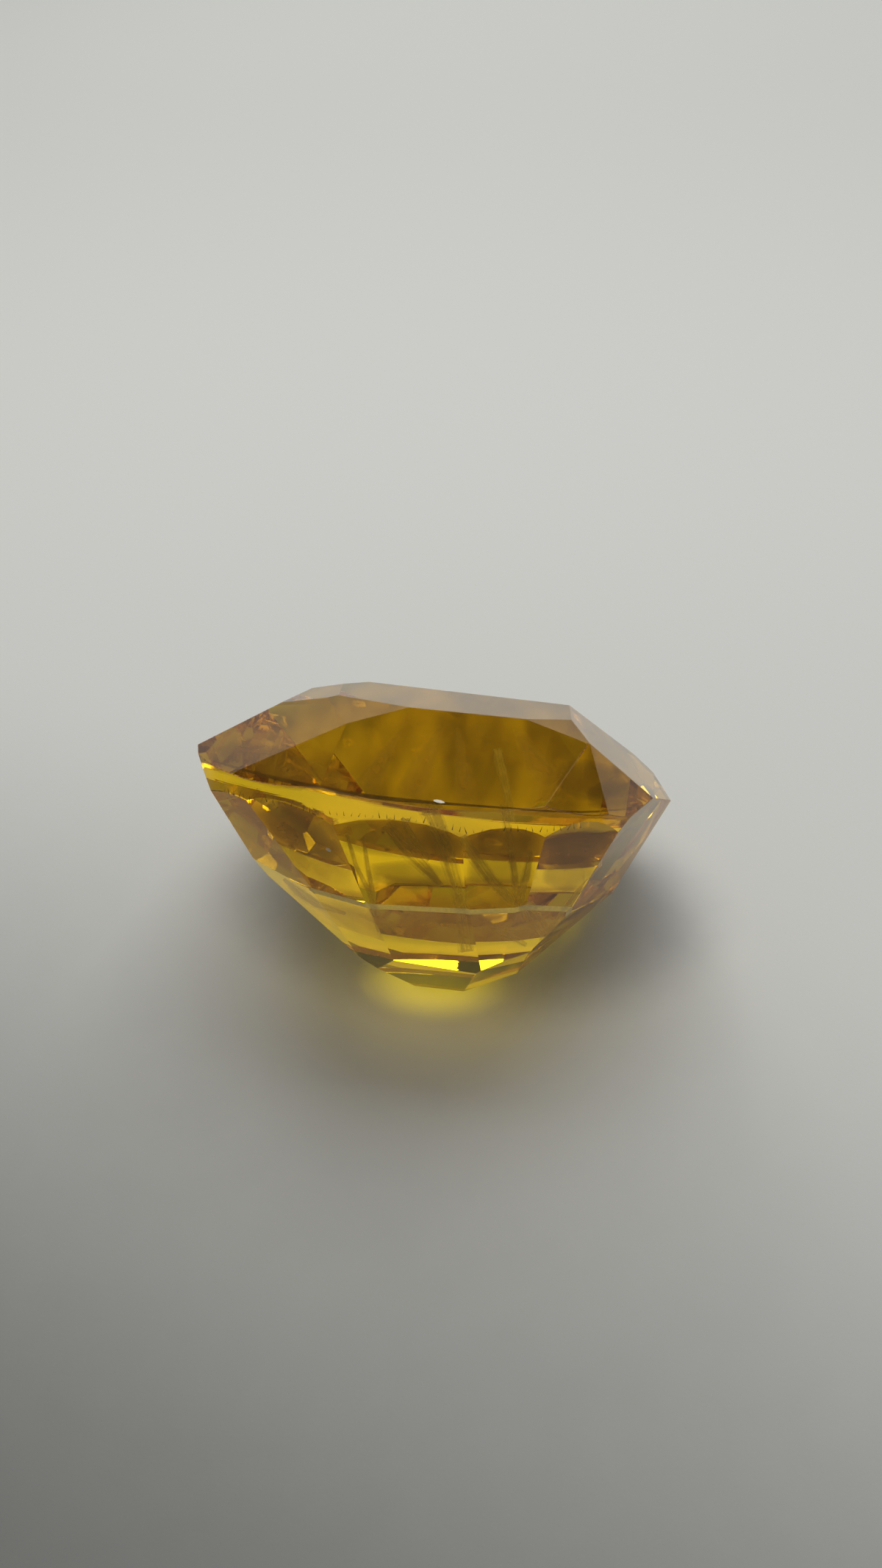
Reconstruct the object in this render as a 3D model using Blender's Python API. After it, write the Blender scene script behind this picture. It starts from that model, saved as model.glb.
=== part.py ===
"""Faceted yellow sapphire: an oval mixed cut 13.4 mm long, lying on a facet of its pavilion."""
import math

import bmesh
import bpy
from mathutils import Matrix, Vector

MM = 0.001

# Outline of the girdle, seen along the stone's own axis. X is the length.
HALF_LENGTH = 7.0 * MM
HALF_WIDTH = 5.45 * MM
FULLNESS = 2.3              # 2.0 is a true ellipse, more fills out the shoulders
GIRDLE_FLATS = 120

# Levels along the axis. Zero is the girdle's upper edge at the front, and the crown is above it.
TIER_2_LEVEL = -3.0 * MM
TIER_3_LEVEL = -5.2 * MM

# Compass: degrees round the axis, 0 at the right end, 270 at the front, 90 at the back.
# Slope: degrees that a facet leans away from the girdle's plane.

# The table, by a point on its front edge. It was cut a little out of level, higher at the back.
TABLE_EDGE = Vector((0, -2.55, 1.90)) * MM
TABLE_COMPASS = 270
TABLE_SLOPE = 4.1

# Meet points of the crown, where the facets round a star's tip come together.
# Each has a twin on the back.
END_TIP = Vector((-4.12, -1.70, 1.57)) * MM
LEFT_TIP = Vector((-1.88, -3.25, 1.39)) * MM
RIGHT_TIP = Vector((4.60, -2.68, 1.53)) * MM

# Crown facets in the order they are cut: meet point, compass, slope.
CROWN_MAINS = ((END_TIP, 182, 32.5), (LEFT_TIP, 242, 33.0), (LEFT_TIP, 273, 34.0))
RIGHT_END_MAIN = (RIGHT_TIP, 0, 36.0)
UPPER_GIRDLE = ((LEFT_TIP, 248, 35.5), (RIGHT_TIP, 306, 48.5), (RIGHT_TIP, 320, 50.0))
STARS = ((END_TIP, 205, 15.0), (LEFT_TIP, 257, 24.0), (RIGHT_TIP, 292, 19.5))
# One broad main takes the back of the crown down to a low girdle.
BACK_MAIN = (Vector((0, 5.25, -1.40)) * MM, 88, 38.0)

# Pavilion, upper tier: compass, slope, level in millimetres where it meets the girdle wall.
TIER_1 = ((187, 57.0, 1.20), (239, 60.0, -0.65), (253, 67.5, -0.55), (271, 73.5, -0.60),
          (286, 75.5, -0.50), (304, 74.5, -0.25), (342, 66.5, 0.60))
BACK_TIER_1 = ((173, 57.0, 0.80), (121, 60.0, -1.20), (105, 62.0, -2.00), (88, 66.0, -2.40),
               (74, 66.0, -2.20), (56, 70.0, -1.40), (18, 66.5, 0.60))
# Pavilion, middle tier: compass, slope, distance from the axis at its level in millimetres.
TIER_2 = ((189, 41.5, 4.44), (233, 43.5, 4.78), (251, 42.0, 4.80), (275, 42.5, 4.80),
          (291, 45.0, 5.08), (301, 46.5, 5.26), (341, 50.0, 5.42))
BACK_TIER_2 = ((171, 41.5, 4.44), (127, 43.5, 5.00), (109, 43.0, 5.05), (69, 45.0, 5.35),
               (59, 46.5, 5.40), (19, 50.0, 5.42))
# Pavilion, lowest tier down to the keel, stated the same way. Each has a twin on the back.
TIER_3 = ((206, 30.5, 2.52), (273, 32.5, 2.45), (316, 36.0, 3.24))

# The stone lies on the middle tier's broadest facet, at the back.
REST_COMPASS = 85
REST_SLOPE = 42.5
REST_RADIUS = 4.7 * MM      # from the axis, at the middle tier's level

MERGE = 0.0005 * MM
TO_BACK = Vector((1, -1, 1))
UP, DOWN = 1, -1


def outline_reach(compass):
    """Distance from the axis to the girdle wall's tangent line that faces the compass."""
    angle = math.radians(compass)
    power = FULLNESS / (FULLNESS - 1)
    along = abs(HALF_LENGTH * math.cos(angle)) ** power
    across = abs(HALF_WIDTH * math.sin(angle)) ** power
    return (along + across) ** (1 / power)


def facing(compass, slope, side):
    """Outward direction of a facet. Side is UP on the crown and DOWN on the pavilion."""
    angle, lean = math.radians(compass), math.radians(slope)
    return Vector((math.cos(angle) * math.sin(lean), math.sin(angle) * math.sin(lean),
                   side * math.cos(lean)))


def grind(stone, point, normal):
    """Cut one flat facet through the point, and close the cut."""
    everything = stone.verts[:] + stone.edges[:] + stone.faces[:]
    cut = bmesh.ops.bisect_plane(stone, geom=everything, dist=MERGE, plane_co=point,
                                 plane_no=normal, clear_outer=True)
    rim = [item for item in cut["geom_cut"] if isinstance(item, bmesh.types.BMEdge)]
    if len(rim) > 2:
        bmesh.ops.edgeloop_fill(stone, edges=rim)


def grind_pair(stone, point, normal):
    """Cut a facet on the front and its twin on the back."""
    grind(stone, point, normal)
    grind(stone, point * TO_BACK, normal * TO_BACK)


def on_compass(compass, radius, level):
    """The point at this distance from the axis and this level."""
    angle = math.radians(compass)
    return Vector((math.cos(angle) * radius, math.sin(angle) * radius, level))


def blank():
    """A block a little larger than the finished stone."""
    stone = bmesh.new()
    bmesh.ops.create_cube(stone, size=2.4 * HALF_LENGTH)
    return stone


def cut_girdle(stone):
    """The wall that all other facets meet, as a ring of narrow upright flats."""
    for index in range(GIRDLE_FLATS):
        compass = 360 * (index + 0.5) / GIRDLE_FLATS
        grind(stone, on_compass(compass, outline_reach(compass), 0), facing(compass, 90, UP))


def cut_crown(stone):
    """Table, mains, upper girdle facets and stars."""
    grind(stone, TABLE_EDGE, facing(TABLE_COMPASS, TABLE_SLOPE, UP))
    for point, compass, slope in CROWN_MAINS + UPPER_GIRDLE + STARS:
        grind_pair(stone, point, facing(compass, slope, UP))
    for point, compass, slope in (RIGHT_END_MAIN, BACK_MAIN):
        grind(stone, point, facing(compass, slope, UP))


def cut_pavilion(stone):
    """Three tiers of steps, from the girdle's scalloped lower edge down to the keel."""
    for compass, slope, level in TIER_1 + BACK_TIER_1:
        point = on_compass(compass, outline_reach(compass), level * MM)
        grind(stone, point, facing(compass, slope, DOWN))
    for compass, slope, radius in TIER_2 + BACK_TIER_2:
        point = on_compass(compass, radius * MM, TIER_2_LEVEL)
        grind(stone, point, facing(compass, slope, DOWN))
    for compass, slope, radius in TIER_3:
        point = on_compass(compass, radius * MM, TIER_3_LEVEL)
        grind_pair(stone, point, facing(compass, slope, DOWN))


def cut_rest_facet(stone):
    """The broad facet at the back, large enough for the stone to lie on."""
    point = on_compass(REST_COMPASS, REST_RADIUS, TIER_2_LEVEL)
    grind(stone, point, facing(REST_COMPASS, REST_SLOPE, DOWN))


def lay_down(stone):
    """Turn the stone so that its resting facet is underneath, at the origin's level."""
    down = facing(REST_COMPASS, REST_SLOPE, DOWN)
    turn = down.rotation_difference(Vector((0, 0, -1))).to_matrix().to_4x4()
    bmesh.ops.transform(stone, matrix=turn, verts=stone.verts)
    lows, highs = [], []
    for axis in range(3):
        values = [vertex.co[axis] for vertex in stone.verts]
        lows.append(min(values))
        highs.append(max(values))
    centre = Vector(((lows[0] + highs[0]) / 2, (lows[1] + highs[1]) / 2, lows[2]))
    bmesh.ops.transform(stone, matrix=Matrix.Translation(-centre), verts=stone.verts)


def golden_crystal():
    """Polished golden-yellow crystal."""
    material = bpy.data.materials.new("golden_crystal")
    material.use_nodes = True
    shader = material.node_tree.nodes["Principled BSDF"]
    shader.inputs["Base Color"].default_value = (0.78, 0.52, 0.03, 1.0)
    shader.inputs["Roughness"].default_value = 0.04
    shader.inputs["Metallic"].default_value = 0.0
    shader.inputs["IOR"].default_value = 1.77
    material.diffuse_color = (0.78, 0.52, 0.03, 1.0)
    return material


def make_sapphire(collection):
    """Grind the whole stone and lay it on its resting facet."""
    stone = blank()
    cut_girdle(stone)
    cut_crown(stone)
    cut_pavilion(stone)
    cut_rest_facet(stone)
    lay_down(stone)
    bmesh.ops.recalc_face_normals(stone, faces=stone.faces)
    mesh = bpy.data.meshes.new("sapphire")
    stone.to_mesh(mesh)
    stone.free()
    mesh.materials.append(golden_crystal())
    sapphire = bpy.data.objects.new("sapphire", mesh)
    collection.objects.link(sapphire)
    return sapphire


def main():
    for item in list(bpy.data.objects):
        bpy.data.objects.remove(item, do_unlink=True)
    collection = bpy.data.collections.new("faceted_yellow_sapphire")
    bpy.context.scene.collection.children.link(collection)
    make_sapphire(collection)


main()
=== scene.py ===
# %% [markdown]
# # A cut yellow sapphire on paper
# The object is one loose gemstone: a golden-yellow sapphire, cut as an oval with a large
# table, a thick girdle and a deep pavilion in steps. It lies on a facet at its back.
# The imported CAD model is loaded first, because every later step is fitted to it.

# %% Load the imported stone
import math

import bmesh
import bpy
import numpy as np
from mathutils import Matrix, Vector
from mathutils.bvhtree import BVHTree


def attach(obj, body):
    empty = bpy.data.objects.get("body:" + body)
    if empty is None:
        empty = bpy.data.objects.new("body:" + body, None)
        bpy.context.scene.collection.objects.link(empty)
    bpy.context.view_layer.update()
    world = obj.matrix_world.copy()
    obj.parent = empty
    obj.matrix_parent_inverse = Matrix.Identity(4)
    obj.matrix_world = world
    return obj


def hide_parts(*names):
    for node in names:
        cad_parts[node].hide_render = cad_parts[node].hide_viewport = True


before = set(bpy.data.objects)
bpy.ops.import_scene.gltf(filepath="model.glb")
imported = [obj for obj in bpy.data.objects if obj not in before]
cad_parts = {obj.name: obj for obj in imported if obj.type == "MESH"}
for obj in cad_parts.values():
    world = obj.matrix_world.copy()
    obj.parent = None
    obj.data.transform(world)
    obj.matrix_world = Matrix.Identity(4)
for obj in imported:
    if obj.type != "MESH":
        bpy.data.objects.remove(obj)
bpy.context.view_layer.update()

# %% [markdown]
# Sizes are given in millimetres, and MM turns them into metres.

MM = 0.001

# %% [markdown]
# ## Camera
# The camera looks down at the paper by 51 degrees from four centimetres away. It could be
# set by eye, but inner reflections shift with the smallest turn. So its place and turn come
# from fitting the facet corners of the cut to the picture, and are given as plain numbers.
# The sensor's 36 mm belong to the long side of the upright frame.

# %% The camera
CAMERA_PLACE = Vector((6.707, -21.944, 34.409)) * MM
CAMERA_TURN = (38.623, 5.603, 9.209)
LENS, SENSOR = 29.73, 36.0
NEAREST, FARTHEST = 0.5 * MM, 5000 * MM

camera_data = bpy.data.cameras.new("camera")
camera_data.lens = LENS
camera_data.sensor_width = SENSOR
camera_data.sensor_fit = "AUTO"
camera_data.clip_start = NEAREST
camera_data.clip_end = FARTHEST
camera = bpy.data.objects.new("camera", camera_data)
camera.location = CAMERA_PLACE
camera.rotation_euler = [math.radians(angle) for angle in CAMERA_TURN]
bpy.context.scene.collection.objects.link(camera)
bpy.context.scene.camera = camera
print("camera is", round(CAMERA_PLACE.length / MM, 1), "mm from the stone's foot")

# %% [markdown]
# ## Wires for sums of nodes
# A finish is easier to read as a sum than as a web of nodes. `Wire` holds one socket, and
# its operators add the Math node that the sign stands for. `Web` holds a node tree, and its
# method `node` adds any other node with its settings and inputs.

# %% Wires
class Wire:
    """A node's output that takes part in Python sums."""

    def __init__(self, web, socket):
        self.web = web
        self.socket = socket

    def sum_with(self, operation, first, second):
        """Add the Math node for one sign. Either side is a wire or a number."""
        return self.web.node("ShaderNodeMath", {"operation": operation}, {0: first, 1: second})

    def __add__(self, other):
        return self.sum_with("ADD", self, other)

    def __sub__(self, other):
        return self.sum_with("SUBTRACT", self, other)

    def __mul__(self, other):
        return self.sum_with("MULTIPLY", self, other)

    def __truediv__(self, other):
        return self.sum_with("DIVIDE", self, other)

    def __pow__(self, other):
        return self.sum_with("POWER", self, other)

    def __radd__(self, other):
        return self.sum_with("ADD", other, self)

    def __rsub__(self, other):
        return self.sum_with("SUBTRACT", other, self)

    def __rmul__(self, other):
        return self.sum_with("MULTIPLY", other, self)


print("wires take part in sums")

# %% [markdown]
# Some nodes come back in most finishes: a place on the piece, a noise, a rise from 0 to 1
# and a bump. They get short methods of their own.

# %% Webs of nodes
class Web:
    """A node tree under construction."""

    def __init__(self, tree):
        self.tree = tree

    def plug(self, socket, value):
        """Link a wire to a socket, or set a plain value on it."""
        if isinstance(value, Wire):
            self.tree.links.new(value.socket, socket)
        else:
            socket.default_value = value

    def node(self, kind, settings=None, inputs=None, out=0):
        """Add a node with its settings and inputs, and return the wire of one output."""
        made = self.tree.nodes.new(kind)
        for name, value in (settings or {}).items():
            if name == "stops":
                self.set_stops(made.color_ramp, value)
            else:
                setattr(made, name, value)
        for name, value in (inputs or {}).items():
            self.plug(made.inputs[name], value)
        return Wire(self, made.outputs[out]) if made.outputs else made

    def set_stops(self, ramp, stops):
        """Give a colour ramp its places and colours."""
        while len(ramp.elements) < len(stops):
            ramp.elements.new(1.0)
        for element, (place, colour) in zip(ramp.elements, stops):
            element.position = place
            element.color = colour

    def place(self):
        """Where a point lies on its piece, in metres."""
        return self.node("ShaderNodeTexCoord", out="Object")

    def part(self, vector, axis):
        """One part of a vector: 0, 1 or 2 for X, Y or Z."""
        return self.node("ShaderNodeSeparateXYZ", None, {0: vector}, axis)

    def noise(self, place, scale, detail):
        """Soft noise. Its scale is the number of spots in a metre."""
        return self.node("ShaderNodeTexNoise", None, {
            "Vector": place, "Scale": scale, "Detail": detail})

    def noise_along(self, way, scale):
        """Noise in bands along one measure."""
        return self.node("ShaderNodeTexNoise", {"noise_dimensions": "1D"}, {
            "W": way, "Scale": scale, "Detail": 3.0})

    def spread(self, value, start, end, low=0.0, high=1.0):
        """Low at the start, high at the end and even steps between them."""
        return self.node("ShaderNodeMapRange", None, {
            "Value": value, 1: start, 2: end, 3: low, 4: high})

    def rise(self, value, start, end):
        """0 at the start, 1 at the end and a smooth rise between them."""
        return self.node("ShaderNodeMapRange", {"interpolation_type": "SMOOTHSTEP"}, {
            "Value": value, 1: start, 2: end})

    def bump(self, height, distance, strength):
        """A normal for a surface that is raised by the height times the distance."""
        return self.node("ShaderNodeBump", None, {
            "Strength": strength, "Distance": distance, "Height": height})

    def mix(self, factor, first, second):
        """Blend two colours."""
        return self.node("ShaderNodeMix", {"data_type": "RGBA"}, {0: factor, 6: first, 7: second}, 2)


class Finish(Web):
    """The nodes of a material, or of the room's light."""

    def __init__(self, owner):
        owner.use_nodes = True
        super().__init__(owner.node_tree)
        self.owner = owner
        self.tree.nodes.clear()


print("webs and finishes are ready")

# %% [markdown]
# ## Paper
# The stone lies on plain pale paper. A real stone touches paper in a few points only and
# keeps a film of air, so the sheet lies a hair lower than the resting facet.

# %% The sheet of paper
PAPER_HALF = 400 * MM
AIR_FILM = 0.02 * MM

sheet = bmesh.new()
bmesh.ops.create_grid(sheet, x_segments=1, y_segments=1, size=PAPER_HALF)
paper_mesh = bpy.data.meshes.new("paper")
sheet.to_mesh(paper_mesh)
sheet.free()
paper_mesh.transform(Matrix.Translation((0, 0, -AIR_FILM)))
paper = bpy.data.objects.new("paper", paper_mesh)
bpy.context.scene.collection.objects.link(paper)
print("paper is", round(2 * PAPER_HALF / MM), "mm square")

# %% [markdown]
# The stone leaves a soft shade on the paper, with a weak yellow glow at its foot: light that
# the crystal gathers. A path tracer finds both only slowly, so the paper's finish paints them
# with soft ovals: a painted shade, a painted glow and painted light under the stone, which
# the crystal shows again. Lamps could do it too, but they would also shine into the stone.

# %% Soft ovals on the paper
CLOUDS_PER_METRE = 700.0
WOBBLE = 0.08               # share by which an oval's rim wanders

paper_finish = Finish(bpy.data.materials.new("pale_paper"))
paper_place = paper_finish.place()
across = paper_finish.part(paper_place, 0)
along = paper_finish.part(paper_place, 1)
cloud = paper_finish.noise(paper_place, CLOUDS_PER_METRE, 3.0)


def oval(centre, radii, rim, core):
    """1 inside an oval on the paper and 0 outside it. Rim and core are shares of its radii."""
    far = (((across - centre[0] * MM) / (radii[0] * MM)) ** 2.0
           + ((along - centre[1] * MM) / (radii[1] * MM)) ** 2.0) ** 0.5
    return paper_finish.rise(far + cloud * WOBBLE, rim, core)


print("the ovals' rims wander by", round(WOBBLE * 100), "percent")

# %% The shade, the glow and the light under the stone
SHADE_CENTRE, SHADE_RADII, SHADE_DEPTH = (0.5, 0.1), (7.6, 4.1), 0.5
GLOW_CENTRE, GLOW_RADII, GLOW_LIGHT = (-0.1, -2.9), (2.5, 1.35), 0.32
UNDER_CENTRE, UNDER_RADII, UNDER_LIGHT = (0.5, 2.2), (4.5, 4.7), 0.07
STREAK_LIGHT = 0.18         # what the brightest streaks under the stone add
STREAK_SQUEEZE = (1.0, 0.35, 1.0)

streak_place = paper_finish.node("ShaderNodeMapping", None, {
    0: paper_place, "Scale": STREAK_SQUEEZE})
streaks = paper_finish.noise(streak_place, CLOUDS_PER_METRE, 2.0)
bundles = paper_finish.spread(streaks, 0.42, 0.68)
under = oval(UNDER_CENTRE, UNDER_RADII, 1.15, 0.85)
glow = (oval(GLOW_CENTRE, GLOW_RADII, 1.10, 0.30) * GLOW_LIGHT
        + under * (bundles * STREAK_LIGHT + UNDER_LIGHT))
shade = oval(SHADE_CENTRE, SHADE_RADII, 1.22, 0.70) * SHADE_DEPTH
print("the shade is", 2 * SHADE_RADII[0], "mm long")

# %% [markdown]
# The light falls off towards the camera, and a little towards the horizon. Painted shade in
# the paper's colour helps there too: it turns darker in front of the stone and far behind it.

# %% The paper's finish
# Painted shade: the two darker paper colours stand in for light that falls off in front of the stone
# and far behind it, and the slant darkens the left too.
PAPER_WHITE = (0.78, 0.79, 0.77, 1.0)
PAPER_PAINTED_SHADE_FAR = (0.66, 0.67, 0.655, 1.0)
PAPER_PAINTED_SHADE_NEAR = (0.22, 0.225, 0.215, 1.0)
SHADE_BLUE = (0.085, 0.10, 0.15, 1.0)
GLOW_YELLOW = (1.0, 0.74, 0.0, 1.0)
BLACK = (0.0, 0.0, 0.0, 1.0)
SLANT = 0.30                # the paper turns darker towards the left too
FALL_START, FALL_END = 5 * MM, -26 * MM
FAR_START, FAR_END = 15 * MM, 60 * MM
FIBRES_PER_METRE, FIBRE_RELIEF = 9000.0, 0.02 * MM

# The painted shade's masks: darker towards the camera and the left, and far behind the stone.
fall = paper_finish.rise(along + across * SLANT + cloud * MM, FALL_END, FALL_START)
beyond = paper_finish.rise(along, FAR_START, FAR_END)
pale = paper_finish.mix(fall, PAPER_PAINTED_SHADE_NEAR, paper_finish.mix(beyond, PAPER_WHITE, PAPER_PAINTED_SHADE_FAR))
fibres = paper_finish.noise(paper_place, FIBRES_PER_METRE, 4.0)
# Base Color carries the painted shade, and Emission Color the painted glow.
paper_shader = paper_finish.node("ShaderNodeBsdfPrincipled", None, {
    "Base Color": paper_finish.mix(shade, pale, SHADE_BLUE),
    "Emission Color": paper_finish.mix(glow, BLACK, GLOW_YELLOW),
    "Emission Strength": 1.0, "Roughness": 0.9,
    "Normal": paper_finish.bump(fibres, FIBRE_RELIEF, 0.12)})
paper_finish.node("ShaderNodeOutputMaterial", None, {"Surface": paper_shader})
paper_mesh.materials.append(paper_finish.owner)
print("paper gets darker from", FALL_START / MM, "to", FALL_END / MM, "mm")

# %% [markdown]
# ## Stone
# The CAD mesh is loose triangles, so a copy is merged and its flat facets are joined into
# one face each. Then the sharper junctions between facets are worn, as years in a parcel
# paper with other stones do. A Bevel modifier could round them, but it gets tangled where
# five or six facets meet. So a narrow extra facet is ground along each, as a cutter would.

# %% A copy of the stone with whole facets
WELD = 0.002 * MM
SAME_FACET = math.radians(0.3)    # triangles that turn by less belong to one facet


def whole_facets(node):
    """A merged copy of a CAD node's mesh, with one face for each flat facet."""
    stone = bmesh.new()
    stone.from_mesh(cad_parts[node].data)
    bmesh.ops.remove_doubles(stone, verts=stone.verts, dist=WELD)
    bmesh.ops.dissolve_limit(stone, angle_limit=SAME_FACET, use_dissolve_boundaries=False,
                             verts=stone.verts, edges=stone.edges, delimit=set())
    return stone


stone = whole_facets("sapphire")
print("stone has", len(stone.faces), "facets, girdle flats included")

# %% [markdown]
# The stone leans back on the facet that it rests on. The girdle's wall runs along the
# stone's own axis, so this axis is worked out from the resting facet's compass angle and
# slope, and it then tells girdle flats and pavilion steps apart.

# %% Stone axis, up from the keel to the table
REST_COMPASS, REST_SLOPE = 85, 42.5


def stone_axis():
    """The direction of the stone's own axis, as it lies on its resting facet."""
    compass, slope = math.radians(REST_COMPASS), math.radians(REST_SLOPE)
    down = Vector((math.cos(compass) * math.sin(slope), math.sin(compass) * math.sin(slope),
                   -math.cos(slope)))
    return down.rotation_difference(Vector((0, 0, -1))) @ Vector((0, 0, 1))


AXIS = stone_axis()
print("the table faces", [round(value, 2) for value in AXIS])

# %% The girdle and the ridge
UPRIGHT = 0.02              # a girdle flat's normal leans along the axis by less than this
MIDDLE_STEP = (39, 48)      # slopes of the pavilion's middle step, in degrees
UPPER_STEP = (59, 80)
FRONT = -0.3                # facets at the front face this far towards -Y


def is_girdle(face):
    """True for the flats of the girdle's wall."""
    return abs(face.normal.dot(AXIS)) < UPRIGHT


def slope_below(face):
    """Degrees that a pavilion facet leans away from the girdle's plane."""
    return math.degrees(math.acos(max(-1.0, min(1.0, -face.normal.dot(AXIS)))))


def is_ridge(faces):
    """True for the ridge between the upper and the middle step of the pavilion, at the front."""
    low, high = sorted(slope_below(face) for face in faces)
    return (MIDDLE_STEP[0] < low < MIDDLE_STEP[1] and UPPER_STEP[0] < high < UPPER_STEP[1]
            and all(face.normal.y < FRONT for face in faces))


stone.normal_update()
print("girdle flats:", sum(is_girdle(face) for face in stone.faces))

# %% Worn junctions
EDGE_WIDTH = 0.03 * MM
RIDGE_WIDTH = 0.19 * MM
CRISP = math.radians(20)    # junctions flatter than this stay crisp
CUT_WELD = 0.0001 * MM


def junctions(stone):
    """Middle, outward direction, depth and kind of each worn edge. The girdle has none."""
    found = []
    for edge in stone.edges:
        faces = edge.link_faces
        turn = faces[0].normal.angle(faces[1].normal)
        if turn > CRISP and not all(is_girdle(face) for face in faces):
            middle = (edge.verts[0].co + edge.verts[1].co) / 2
            outward = (faces[0].normal + faces[1].normal).normalized()
            width = RIDGE_WIDTH if is_ridge(faces) else EDGE_WIDTH
            found.append((middle, outward, width / 2 * math.tan(turn / 2), is_ridge(faces)))
    return found


def wear_junctions(stone):
    """Grind a narrow facet along each junction, and note which ones are the ridge."""
    ridge_layer = stone.faces.layers.float.new("ridge")
    for middle, outward, depth, ridge in junctions(stone):
        everything = stone.verts[:] + stone.edges[:] + stone.faces[:]
        cut = bmesh.ops.bisect_plane(stone, geom=everything, dist=CUT_WELD,
                                     plane_co=middle - outward * depth, plane_no=outward,
                                     clear_outer=True)
        rim = [item for item in cut["geom_cut"] if isinstance(item, bmesh.types.BMEdge)]
        if len(rim) > 2:
            for face in bmesh.ops.edgeloop_fill(stone, edges=rim)["faces"]:
                face[ridge_layer] = float(ridge)


wear_junctions(stone)
print("after wear the stone has", len(stone.faces), "faces")

# %% [markdown]
# The girdle is a ring of narrow flats. Smooth shading makes one curved wall of them, while
# the polished facets stay flat up to their junctions. Two attributes stay on the faces for
# the finish: where the girdle is, and where the ridge is.

# %% Shade the girdle as one curved wall
def make_stone(stone, name):
    """Turn the ground stone into a piece. Its girdle is smooth, and other junctions are sharp."""
    bmesh.ops.recalc_face_normals(stone, faces=stone.faces)
    girdle_layer = stone.faces.layers.float.new("girdle")
    for face in stone.faces:
        face.smooth = is_girdle(face)
        face[girdle_layer] = float(face.smooth)
    for edge in stone.edges:
        edge.smooth = all(is_girdle(face) for face in edge.link_faces)
    mesh = bpy.data.meshes.new(name)
    stone.to_mesh(mesh)
    stone.free()
    made = bpy.data.objects.new(name, mesh)
    bpy.context.scene.collection.objects.link(made)
    return made


gem = make_stone(stone, "sapphire_stone")
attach(gem, "root")
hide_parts("sapphire")
print("stone mesh:", len(gem.data.vertices), "corners")

# %% [markdown]
# ## Golden crystal
# Sapphire bends light strongly, so its index is 1.77. Its colour is all through it, but a
# volume that takes all the blue and green turns the long paths inside a cut stone orange.
# So the surface tints the light golden each time it passes, and a weak volume adds the rest.
# One material serves the whole stone, because light has to leave the same volume that it
# entered. Two face attributes say where the girdle's wall and the frosted ridge are.

# %% The crystal's relief
INDEX = 1.77
RELIEF = 0.0022 * MM        # how high the polishing waves stand
FINE_WAVES, GRINDING, FROST_GRAIN = 0.10, 0.25, 4.0    # the others' heights, as shares of it

crystal = Finish(bpy.data.materials.new("golden_crystal_clear"))
crystal_place = crystal.place()
on_girdle = crystal.node("ShaderNodeAttribute", {"attribute_name": "girdle"}, None, "Fac")
on_ridge = crystal.node("ShaderNodeAttribute", {"attribute_name": "ridge"}, None, "Fac")
broad_waves = crystal.noise(crystal_place, 450.0, 2.0)
fine_waves = crystal.noise(crystal_place, 3500.0, 3.0)
frost_grain = crystal.noise(crystal_place, 7000.0, 4.0)
level = crystal.node("ShaderNodeVectorMath", {"operation": "DOT_PRODUCT"},
                     {0: crystal_place, 1: AXIS}, "Value")
grinding = crystal.noise_along(level, 9000.0)
height = (broad_waves + fine_waves * FINE_WAVES + grinding * on_girdle * GRINDING
          + frost_grain * on_ridge * FROST_GRAIN)
crystal_relief = crystal.bump(height, RELIEF, 1.0)
print("polishing waves stand", RELIEF / MM, "mm high")

# %% The crystal's finish
GOLDEN_TINT = (1.0, 0.765, 0.12, 1.0)
FROST_YELLOW = (0.85, 0.74, 0.34, 1.0)
DEPTH_YELLOW, DEPTH_DENSITY = (0.990, 0.952, 0.25, 1.0), 350.0
GIRDLE_ROUGHNESS, RIDGE_ROUGHNESS, FROST_ROUGHNESS = 0.04, 0.20, 0.6
FROST_COVER, FROST_DRIFT = 0.30, 0.45

glass = crystal.node("ShaderNodeBsdfPrincipled", None, {
    "Base Color": GOLDEN_TINT,
    "Roughness": on_girdle * GIRDLE_ROUGHNESS + on_ridge * RIDGE_ROUGHNESS,
    "IOR": INDEX, "Transmission Weight": 1.0, "Normal": crystal_relief})
frost = crystal.node("ShaderNodeBsdfPrincipled", None, {
    "Base Color": FROST_YELLOW, "Roughness": FROST_ROUGHNESS, "Normal": crystal_relief})
frosted = crystal.node("ShaderNodeMixShader", None, {
    0: on_ridge * (FROST_COVER + frost_grain * FROST_DRIFT), 1: glass, 2: frost})
depths = crystal.node("ShaderNodeVolumeAbsorption", None, {
    "Color": DEPTH_YELLOW, "Density": DEPTH_DENSITY})
crystal.node("ShaderNodeOutputMaterial", None, {"Surface": frosted, "Volume": depths})
gem.data.materials.append(crystal.owner)
print("crystal's index is", INDEX)

# %% [markdown]
# ## Flaws in the crystal
# Natural sapphires are rarely clean. Old cracks healed into feathers and fine silk hangs in
# clouds. Thin brown sheets add painted shade. They could be painted on the facets, but then
# they would not be mirrored inside the stone. So each is a ribbon, one to three hundredths of
# a millimetre thick, a little below a facet. Its path is given where it is seen in the
# picture. A line of sight is followed to the stone, bent there as the crystal bends it, and
# the ribbon's corner is set on it.

# %% From a point in the picture to a point in the stone
PICTURE = (1200, 2133)
FOCAL_PIXELS = LENS / SENSOR * PICTURE[1]
SURFACE = BVHTree.FromPolygons([vertex.co for vertex in gem.data.vertices],
                               [polygon.vertices[:] for polygon in gem.data.polygons])


def bend(sight, normal):
    """The direction of a line of sight once it is inside the crystal."""
    cosine = -sight.dot(normal)
    inner = math.sqrt(1 - (1 - cosine ** 2) / INDEX ** 2)
    return (sight / INDEX + normal * (cosine / INDEX - inner)).normalized()


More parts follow.
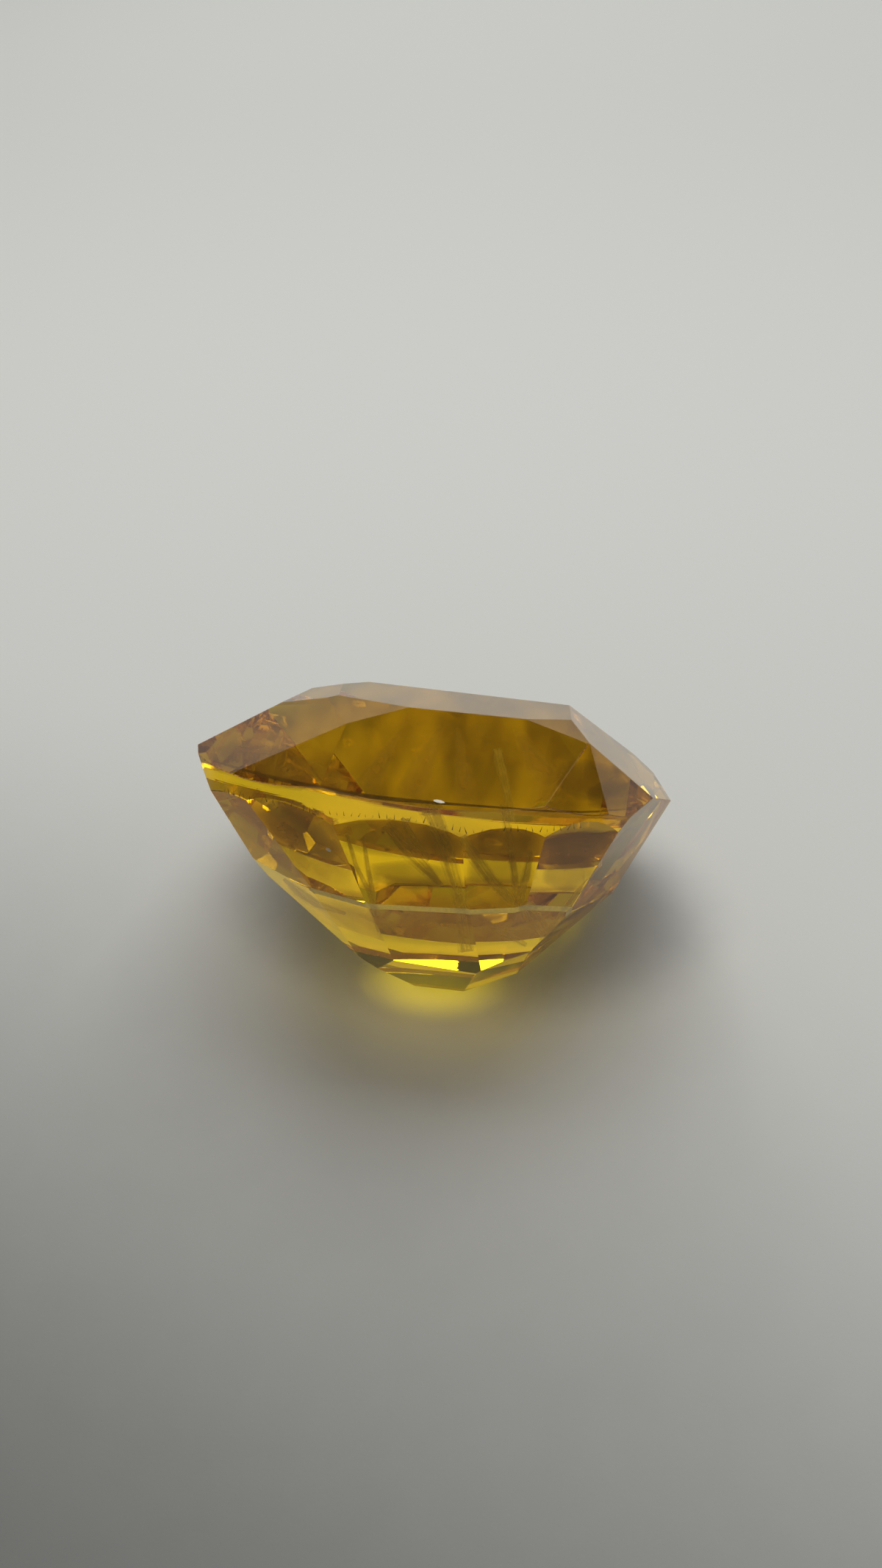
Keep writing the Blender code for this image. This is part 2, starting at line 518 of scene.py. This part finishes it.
def inside(x, y, depth):
    """The point this deep in the stone that is seen at this point of the picture, or None."""
    turn = camera.rotation_euler.to_matrix()
    sight = (turn @ Vector((x - PICTURE[0] / 2, PICTURE[1] / 2 - y, -FOCAL_PIXELS))).normalized()
    spot, normal = SURFACE.ray_cast(CAMERA_PLACE, sight)[:2]
    return None if spot is None else spot + bend(sight, normal) * depth


print("one picture point is", round(CAMERA_PLACE.length / FOCAL_PIXELS / MM, 4), "mm at the stone")

# %% The places of a ribbon's corners
RIBBON_STEPS = 24
# A ribbon's section: each corner's side, from -1 to 1, and its depth, 0 above and 1 below.
SECTION = ((-1, 0), (0, 0), (1, 0), (1, 1), (0, 1), (-1, 1))


def even_path(stations):
    """Even steps along the stations' columns, straight from each station to the next."""
    rows = np.array(stations, dtype=float)
    known = np.linspace(0, 1, len(rows))
    steps = np.linspace(0, 1, RIBBON_STEPS)
    return np.stack([np.interp(steps, known, column) for column in rows.T], axis=1)


def ribbon_rings(stations, depth, thickness):
    """The corners of each section along the stations, or None where it runs off the stone."""
    path = even_path(stations)
    ways = np.gradient(path[:, :2], axis=0)
    rings = []
    for (x, y, width), way in zip(path, ways):
        aside = np.array((-way[1], way[0])) / np.linalg.norm(way) * width / 2
        rings.append([inside(x + side * aside[0], y + side * aside[1], depth + deep * thickness)
                      for side, deep in SECTION])
    return None if any(spot is None for ring in rings for spot in ring) else rings


print("each ribbon has", RIBBON_STEPS, "sections of", len(SECTION), "corners")

# %% Ribbons as closed flat tubes
def ribbon(mesh, uv_layer, rings):
    """A closed flat tube. Its map runs across it in U and along it in V."""
    tube = [[mesh.verts.new(spot) for spot in ring] for ring in rings]
    last = len(tube) - 1
    shares = [(side + 1) / 2 for side, deep in SECTION]
    for step in range(last):
        for corner in range(len(SECTION)):
            follow = (corner + 1) % len(SECTION)
            corners = ((step, corner), (step, follow), (step + 1, follow), (step + 1, corner))
            face = mesh.faces.new([tube[row][column] for row, column in corners])
            for loop, (row, column) in zip(face.loops, corners):
                loop[uv_layer].uv = (shares[column], row / last)
    for ring in (tube[0], tube[-1]):
        mesh.faces.new(ring)


def ribbon_piece(name, ribbons):
    """One piece from several ribbons. It rides with the stone."""
    mesh = bmesh.new()
    uv_layer = mesh.loops.layers.uv.new("ribbon")
    for depth, thickness, stations in ribbons:
        rings = ribbon_rings(stations, depth * MM, thickness * MM)
        if rings:
            ribbon(mesh, uv_layer, rings)
        else:
            print("a ribbon of", name, "runs off the stone at", stations[0][:2])
    bmesh.ops.recalc_face_normals(mesh, faces=mesh.faces)
    data = bpy.data.meshes.new(name)
    mesh.to_mesh(data)
    mesh.free()
    made = bpy.data.objects.new(name, data)
    bpy.context.scene.collection.objects.link(made)
    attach(made, "root")
    print(name, "has", len(data.polygons), "faces on", len(ribbons), "ribbons")
    return made


print("ribbons are ready")

# %% [markdown]
# A flaw is never a hard-edged sheet. Its cover, from 0 for clear to 1 for full, fades to
# nothing at the ribbon's rim. Milky sheets are lit from behind as much as from in front.

# %% Helpers for the flaws' finishes
SHEET_ROUGHNESS = 0.8


def ribbon_share(finish, axis):
    """How far across (0) or along (1) its ribbon a point lies, from 0 to 1."""
    return finish.part(finish.node("ShaderNodeUVMap", {"uv_map": "ribbon"}), axis)


def soft_ends(share, power):
    """1 in the middle and 0 at both ends. A higher power keeps more of the middle."""
    return 1 - (share * 2 - 1) ** power


def milky(finish, front, behind):
    """A sheet that is lit from the front and from behind alike."""
    lit_in_front = finish.node("ShaderNodeBsdfPrincipled", None, {
        "Base Color": front, "Roughness": SHEET_ROUGHNESS})
    lit_behind = finish.node("ShaderNodeBsdfTranslucent", None, {0: behind})
    return finish.node("ShaderNodeMixShader", None, {0: 0.5, 1: lit_in_front, 2: lit_behind})


def cover_with(finish, cover, shader):
    """Show the shader by its cover, and leave the rest clear."""
    clear = finish.node("ShaderNodeBsdfTransparent")
    covered = finish.node("ShaderNodeMixShader", None, {0: cover, 1: clear, 2: shader})
    finish.node("ShaderNodeOutputMaterial", None, {"Surface": covered})


print("flaws fade at their rims")

# %% [markdown]
# ## Feathers
# The feathers fan out over the pavilion's front: old cracks that healed into thin milky
# sheets. They follow straight runs, with a bend or two, as cracks do.

# %% The feathers
# Each feather: depth and thickness in millimetres, then x, y and width along its path.
FEATHERS = (
    (0.55, 0.03, ((582, 1096, 34), (596, 1130, 28), (612, 1175, 26), (624, 1215, 20),
                  (634, 1295, 24))),
    (0.45, 0.03, ((628, 1138, 14), (645, 1165, 22), (668, 1198, 20), (700, 1230, 14))),
    (0.50, 0.02, ((686, 1104, 12), (692, 1140, 14), (699, 1185, 12), (704, 1232, 10))),
    (0.80, 0.02, ((676, 1018, 14), (683, 1050, 16), (694, 1099, 12))),
    (0.40, 0.02, ((472, 1135, 6), (484, 1178, 8), (502, 1214, 9), (516, 1268, 6))),
    (0.45, 0.02, ((494, 1138, 6), (500, 1180, 8), (506, 1212, 10), (514, 1245, 7))),
    (0.70, 0.02, ((524, 1122, 20), (548, 1150, 28), (575, 1178, 20), (600, 1205, 10))),
    (0.90, 0.02, ((548, 1118, 12), (562, 1142, 16), (584, 1170, 8))),
    (0.35, 0.03, ((722, 1156, 8), (716, 1190, 14), (706, 1222, 16), (716, 1248, 16),
                  (742, 1276, 10))),
    (0.40, 0.02, ((700, 1228, 10), (722, 1232, 14), (744, 1262, 10))),
    (0.25, 0.02, ((668, 1262, 10), (692, 1272, 14), (716, 1286, 8))),
    (0.25, 0.02, ((800, 1196, 5), (778, 1222, 8), (752, 1258, 6))),
    (0.15, 0.02, ((386, 1196, 6), (404, 1213, 16), (432, 1231, 14), (470, 1243, 6))),
)
feathers = ribbon_piece("feathers", FEATHERS)

# %% The feathers' finish
MILK_FRONT, MILK_BEHIND = (0.98, 0.84, 0.52, 1.0), (0.98, 0.84, 0.46, 1.0)
STRANDS = 6.0               # strands across a ribbon
THINNEST, THICKEST = 0.12, 0.75


def milky_veil():
    """Strands along the ribbon, broken by a fine grain."""
    veil = Finish(bpy.data.materials.new("milky_veil"))
    aside = ribbon_share(veil, 0)
    grain = veil.noise(veil.place(), 1800.0, 5.0)
    strands = veil.noise_along(aside + grain * 0.15, STRANDS)
    mask = veil.spread(strands * 0.6 + grain * 0.5, 0.42, 0.70, THINNEST, THICKEST)
    cover_with(veil, mask * soft_ends(aside, 2), milky(veil, MILK_FRONT, MILK_BEHIND))
    return veil.owner


feathers.data.materials.append(milky_veil())
print("feathers cover", THINNEST, "to", THICKEST, "of what is behind them")

# %% [markdown]
# ## Clouds
# Fine silk hangs in the crystal as dim clouds. They are built as the feathers are, but wide.
# Four of them rise behind the crown's broad front facet, where they narrow towards the table.

# %% The clouds
CLOUDS = (
    (0.50, 0.02, ((284, 1024, 20), (325, 1014, 52), (370, 1020, 66), (415, 1040, 50))),
    (0.50, 0.02, ((318, 1098, 30), (365, 1132, 66), (420, 1165, 84), (482, 1196, 60))),
    (0.40, 0.02, ((728, 1152, 30), (765, 1156, 60), (805, 1152, 60), (842, 1142, 30))),
    (0.35, 0.02, ((424, 1226, 16), (490, 1252, 46), (570, 1262, 50), (650, 1264, 50),
                  (730, 1258, 44), (780, 1240, 16))),
    (0.15, 0.02, ((310, 1094, 24), (345, 1108, 44), (385, 1128, 50), (420, 1150, 36))),
    (0.20, 0.02, ((350, 1040, 30), (400, 1048, 44), (450, 1062, 40), (485, 1078, 14))),
    (0.15, 0.02, ((636, 1250, 16), (672, 1250, 30), (708, 1252, 16))),
    (0.60, 0.02, ((498, 1076, 44), (516, 1040, 26), (548, 992, 6))),
    (0.60, 0.02, ((560, 1086, 54), (574, 1040, 34), (606, 982, 6))),
    (0.60, 0.02, ((636, 1092, 44), (630, 1048, 26), (622, 985, 8))),
    (0.60, 0.02, ((760, 1098, 70), (738, 1050, 44), (700, 990, 10))),
)
clouds = ribbon_piece("clouds", CLOUDS)

# %% The clouds' finish
SILK_GOLD = (0.95, 0.70, 0.22, 1.0)


def silk_cloud():
    """Wisps that fade out towards all sides of the ribbon."""
    silk = Finish(bpy.data.materials.new("silk_cloud"))
    wisps = silk.noise(silk.place(), 900.0, 5.0)
    rim = soft_ends(ribbon_share(silk, 0), 2) * soft_ends(ribbon_share(silk, 1), 4)
    mist = silk.spread(wisps, 0.30, 0.72, 0.18, 0.50)
    cover_with(silk, mist * rim, milky(silk, SILK_GOLD, SILK_GOLD))
    return silk.owner


clouds.data.materials.append(silk_cloud())
print("clouds cover a half at most")

# %% [markdown]
# ## Painted shade sheets
# Thin brown sheets are painted shade: they darken the pavilion's upper and middle steps and
# parts of the crown, where little light leaves the cut stone. The girdle's upper edge is
# darkened too, and three thin layers one below the other make it dark enough.

# %% The painted shade sheets
# Painted shade: each sheet's depth and thickness in millimetres, then x, y and width along its path.
PAINTED_SHADE_SHEETS = (
    (0.25, 0.02, ((352, 1098, 20), (385, 1118, 48), (425, 1142, 50), (462, 1166, 24))),
    (0.25, 0.02, ((462, 1134, 34), (500, 1138, 52), (560, 1142, 54), (612, 1152, 40),
                  (630, 1160, 16))),
    (0.25, 0.02, ((636, 1156, 24), (665, 1150, 44), (700, 1148, 44), (738, 1152, 30))),
    (0.25, 0.02, ((742, 1158, 30), (770, 1152, 50), (805, 1146, 44), (834, 1142, 20))),
    (0.30, 0.02, ((284, 1030, 20), (326, 1028, 46), (380, 1040, 52), (436, 1058, 30))),
    (0.30, 0.02, ((798, 1086, 24), (838, 1080, 52), (880, 1082, 30))),
    (0.30, 0.02, ((756, 1052, 30), (790, 1060, 60), (830, 1066, 50), (852, 1076, 20))),
    (0.30, 0.02, ((500, 1186, 24), (560, 1190, 44), (622, 1196, 26))),
    (0.30, 0.02, ((634, 1184, 30), (680, 1184, 52), (730, 1180, 34))),
    (0.30, 0.02, ((738, 1184, 34), (770, 1188, 56), (812, 1176, 30))),
)
# Three thin layers darken the girdle's upper edge.
EDGE_LINE = ((276, 1030, 3), (330, 1047, 4), (390, 1062, 6), (450, 1075, 7), (520, 1086, 7),
             (590, 1092, 5), (660, 1097, 3), (740, 1103, 3), (800, 1105, 3), (860, 1100, 3))
EDGE_DEPTHS, EDGE_THICKNESS = (0.01, 0.04, 0.07), 0.01

edge_layers = tuple((depth, EDGE_THICKNESS, EDGE_LINE) for depth in EDGE_DEPTHS)
painted_shade_sheets = ribbon_piece("painted_shade_sheets", PAINTED_SHADE_SHEETS + edge_layers)

# %% The painted shade sheets' finish
# The brown of the painted shade, and how much of what lies behind it the sheets cover.
PAINTED_SHADE_BROWN = (0.30, 0.18, 0.06, 1.0)
PAINTED_SHADE_COVER, PAINTED_SHADE_DRIFT = 0.15, 0.28


def painted_brown_shade():
    """Painted shade: a thin brown that drifts a little and fades out at the rim."""
    brown = Finish(bpy.data.materials.new("painted_brown_shade"))
    drift = brown.noise(brown.place(), 700.0, 3.0)
    rim = soft_ends(ribbon_share(brown, 0), 4) * soft_ends(ribbon_share(brown, 1), 6)
    shaded = brown.node("ShaderNodeBsdfPrincipled", None, {
        "Base Color": PAINTED_SHADE_BROWN, "Roughness": SHEET_ROUGHNESS})
    cover_with(brown, rim * (PAINTED_SHADE_COVER + drift * PAINTED_SHADE_DRIFT), shaded)
    return brown.owner


painted_shade_sheets.data.materials.append(painted_brown_shade())
print("zones cover", PAINTED_SHADE_COVER, "and a little more where they drift")

# %% [markdown]
# ## Chips
# Two small chips show as pale bruises: one on the girdle's upper edge and one on the
# pavilion's left. They stand 0.015 mm proud of the polish, so that nothing covers them.

# %% The chips
CHIPS = (
    (-0.015, 0.02, ((590, 1089, 2), (595, 1090, 4), (600, 1091, 4), (605, 1092, 1))),
    (-0.015, 0.02, ((444, 1154, 2), (447, 1156, 4), (450, 1158, 2))),
)
chips = ribbon_piece("chips", CHIPS)

# %% The chips' finish
BRUISE_DARK, BRUISE_PALE = (0.62, 0.52, 0.34, 1.0), (0.90, 0.86, 0.74, 1.0)
BRUISE_RELIEF = 0.03 * MM


def bruised_crystal():
    """Crushed crystal: pale, grainy and rough."""
    bruise = Finish(bpy.data.materials.new("bruised_crystal"))
    grain = bruise.noise(bruise.place(), 9000.0, 3.0)
    shader = bruise.node("ShaderNodeBsdfPrincipled", None, {
        "Base Color": bruise.mix(grain, BRUISE_DARK, BRUISE_PALE), "Roughness": 0.5,
        "Normal": bruise.bump(grain, BRUISE_RELIEF, 0.8)})
    bruise.node("ShaderNodeOutputMaterial", None, {"Surface": shader})
    return bruise.owner


chips.data.materials.append(bruised_crystal())
print("chips are pale")

# %% [markdown]
# ## Beard
# Grinding leaves a beard on a girdle: hairline cracks a tenth or two of a millimetre long.
# They stand in a row at the girdle's lower edge, just inside its wall. A loop could set them
# one by one, but Geometry Nodes keep the row easy to change. The line that they follow is
# one chain of points, and each hair is a thin cone.

# %% The line that the hairs follow
BEARD_LINE = ((306, 1079), (336, 1088), (362, 1091), (392, 1096), (424, 1106), (470, 1110),
              (520, 1113), (580, 1120), (634, 1134), (690, 1130), (740, 1132), (790, 1126))
BEARD_DEPTH = 0.14 * MM

line_mesh = bpy.data.meshes.new("beard_line")
spots = [inside(x, y, BEARD_DEPTH) for x, y in BEARD_LINE]
line_mesh.from_pydata(spots, [(index, index + 1) for index in range(len(spots) - 1)], [])
beard_line = bpy.data.objects.new("beard_line", line_mesh)
bpy.context.scene.collection.objects.link(beard_line)
print("the beard's line has", len(spots), "points")

# %% The hairs' finish
CRACK_BROWN, CRACK_ROUGHNESS = (0.16, 0.10, 0.03, 1.0), 0.7

crack = Finish(bpy.data.materials.new("beard_crack"))
crack_shader = crack.node("ShaderNodeBsdfPrincipled", None, {
    "Base Color": CRACK_BROWN, "Roughness": CRACK_ROUGHNESS})
crack.node("ShaderNodeOutputMaterial", None, {"Surface": crack_shader})
print("hairs are dark")

# %% Hairs by Geometry Nodes
HAIR_COUNT, HAIR_LENGTH, HAIR_THICKNESS, HAIR_SEED = 54, 0.20 * MM, 0.016 * MM, 4
HAIR_SIDES, SHORTEST = 5, 0.35
LEAN = Vector((0.5, 0.2, 0.2))
HAIR_SIZES = {"Count": HAIR_COUNT, "Length": HAIR_LENGTH, "Thickness": HAIR_THICKNESS}


def hair_tree():
    """Thin cones along a chain of points, each leaning its own way from the stone's axis."""
    web = Web(bpy.data.node_groups.new("hairs", "GeometryNodeTree"))
    sockets = (("Line", "INPUT", "NodeSocketGeometry"), ("Count", "INPUT", "NodeSocketInt"),
               ("Length", "INPUT", "NodeSocketFloat"), ("Thickness", "INPUT", "NodeSocketFloat"),
               ("Hairs", "OUTPUT", "NodeSocketGeometry"))
    for name, way, kind in sockets:
        web.tree.interface.new_socket(name, in_out=way, socket_type=kind)
    line, count, length, thickness = [
        web.node("NodeGroupInput", out=name) for name, way, kind in sockets if way == "INPUT"]

    curve = web.node("GeometryNodeMeshToCurve", None, {"Mesh": line})
    points = web.node("GeometryNodeResampleCurve", {"mode": "COUNT"}, {
        "Curve": curve, "Count": count})
    hair = web.node("GeometryNodeMeshCone", None, {
        "Vertices": HAIR_SIDES, "Radius Top": 0.0, "Radius Bottom": thickness, "Depth": length})
    lean = web.node("FunctionNodeRandomValue", {"data_type": "FLOAT_VECTOR"}, {
        0: AXIS - LEAN, 1: AXIS + LEAN, "Seed": HAIR_SEED})
    turn = web.node("FunctionNodeAlignRotationToVector", {"axis": "Z"}, {"Vector": lean})
    size = web.node("FunctionNodeRandomValue", {"data_type": "FLOAT"}, {
        2: SHORTEST, 3: 1.0, "Seed": HAIR_SEED + 1}, 1)
    set_hairs = web.node("GeometryNodeInstanceOnPoints", None, {
        "Points": points, "Instance": hair, "Rotation": turn, "Scale": size})
    plain = web.node("GeometryNodeRealizeInstances", None, {"Geometry": set_hairs})
    finished = web.node("GeometryNodeSetMaterial", None, {
        "Geometry": plain, "Material": crack.owner})
    web.node("NodeGroupOutput", None, {"Hairs": finished})
    return web.tree


hairs = beard_line.modifiers.new("hairs", "NODES")
hairs.node_group = hair_tree()
for item in hairs.node_group.interface.items_tree:
    if item.name in HAIR_SIZES:
        hairs[item.identifier] = HAIR_SIZES[item.name]
print("the hairs' tree has", len(hairs.node_group.nodes), "nodes")

# %% [markdown]
# The result is turned into a plain mesh. The line is no longer needed, so it is removed, and
# so is the empty material slot that the cones bring with them.

# %% The beard as a plain mesh
grown = beard_line.evaluated_get(bpy.context.evaluated_depsgraph_get())
beard = bpy.data.objects.new("beard", bpy.data.meshes.new_from_object(grown))
bpy.context.scene.collection.objects.link(beard)
bpy.data.objects.remove(beard_line, do_unlink=True)
beard.data.materials.pop(index=0)
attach(beard, "root")
print("beard:", len(beard.data.polygons), "faces on", HAIR_COUNT, "hairs")

# %% [markdown]
# ## Light
# One soft box hangs high behind the stone, so the paper is brighter at the back and the
# shade falls towards the camera. It stays above the part of the room that the crown's broad
# front facet mirrors, because that facet shows no glare. A small window behind the stone's
# left gives the pavilion's foot its bright band.

# %% The soft box and the window
def soft_box(name, place, aim, size, watts, colour):
    """A rectangular light that faces its aim. Places and sizes are in millimetres."""
    data = bpy.data.lights.new(name, "AREA")
    data.shape = "RECTANGLE"
    data.size, data.size_y = size[0] * MM, size[1] * MM
    data.energy = watts
    data.color = colour
    made = bpy.data.objects.new(name, data)
    made.location = Vector(place) * MM
    made.rotation_euler = (Vector(aim) * MM - made.location).to_track_quat("-Z", "Y").to_euler()
    bpy.context.scene.collection.objects.link(made)
    print(name, "hangs", place[2], "mm above the paper")


soft_box("soft_box", (8, 76, 130), (5, 20, 0), (140, 76), 0.115, (1.0, 1.0, 0.97))
soft_box("window", (-42, 85, 74), (0, 0, 4), (34, 17), 0.010, (1.0, 0.99, 0.95))

# %% [markdown]
# ## Room
# The room is a second, larger light. Light that turns inside the stone leaves it in every
# direction, so a black room would make the stone black. A picture of a room could light it,
# but a few plain colours by height are easier to steer. It is dim all round and pale at the
# horizon behind the stone. Three patches are dark, because facets of the crown mirror them
# without glare.

# %% Dark patches in the room
PATCH_RIM = 4               # degrees from a patch's edge to where it has faded
DARK_PATCHES = ((95, 36, 15), (121, 27, 7), (43, 30, 8))    # compass, height, reach

room = Finish(bpy.context.scene.world or bpy.data.worlds.new("room"))
bpy.context.scene.world = room.owner
direction = room.node("ShaderNodeTexCoord", out="Generated")


def towards(compass, height):
    """The direction at this compass angle and this height above the horizon, in degrees."""
    turn, rise = math.radians(compass), math.radians(height)
    return (math.cos(turn) * math.cos(rise), math.sin(turn) * math.cos(rise), math.sin(rise))


def dark_patch(compass, height, reach):
    """1 in a round patch of the room and 0 outside it. The reach is in degrees."""
    near = room.node("ShaderNodeVectorMath", {"operation": "DOT_PRODUCT"},
                     {0: direction, 1: towards(compass, height)}, "Value")
    rim, core = math.radians(reach + PATCH_RIM), math.radians(reach)
    return room.rise(near, math.cos(rim), math.cos(core))


dark = 0.0
for compass, height_above, reach in DARK_PATCHES:
    dark = room.node("ShaderNodeMath", {"operation": "MAXIMUM"}, {
        0: dark, 1: dark_patch(compass, height_above, reach)})
print("dark patches:", len(DARK_PATCHES))

# %% The room's colours, from the horizon up
BEHIND = ((0.0, (0.54, 0.50, 0.47, 1.0)), (0.32, (0.58, 0.52, 0.48, 1.0)),
          (0.42, (0.28, 0.28, 0.27, 1.0)), (1.0, (0.28, 0.28, 0.28, 1.0)))
AHEAD = ((0.0, (0.07, 0.07, 0.07, 1.0)), (0.35, (0.09, 0.09, 0.09, 1.0)),
         (0.60, (0.26, 0.26, 0.26, 1.0)), (1.0, (0.26, 0.26, 0.26, 1.0)))
PATCH_GREY = (0.045, 0.05, 0.04, 1.0)

rise_above = room.part(direction, 2)
behind = room.node("ShaderNodeValToRGB", {"stops": BEHIND}, {0: rise_above})
ahead = room.node("ShaderNodeValToRGB", {"stops": AHEAD}, {0: rise_above})
side = room.spread(room.part(direction, 1), -0.25, 0.25)
room_colour = room.mix(dark, room.mix(side, ahead, behind), PATCH_GREY)
room_light = room.node("ShaderNodeBackground", None, {0: room_colour, 1: 1.0})
room.node("ShaderNodeOutputWorld", None, {0: room_light})
print("room is dim, with a pale horizon behind the stone")

# %% [markdown]
# ## Picture settings
# Light needs many turns inside a cut stone before it finds a way out, so the paths are
# allowed to be long. Colours are shown as they are, without a film curve.

# %% Paths and colours
TURNS, SOFT_TURNS, CLEAR_LAYERS = 32, 8, 24

cycles = bpy.context.scene.cycles
cycles.max_bounces = TURNS
cycles.transmission_bounces = TURNS
cycles.glossy_bounces = TURNS
cycles.diffuse_bounces = SOFT_TURNS
cycles.transparent_max_bounces = CLEAR_LAYERS
cycles.caustics_refractive = True
cycles.caustics_reflective = True
bpy.context.scene.view_settings.view_transform = "Standard"
print("light may turn", TURNS, "times")

# %% Update the scene
bpy.context.view_layer.update()
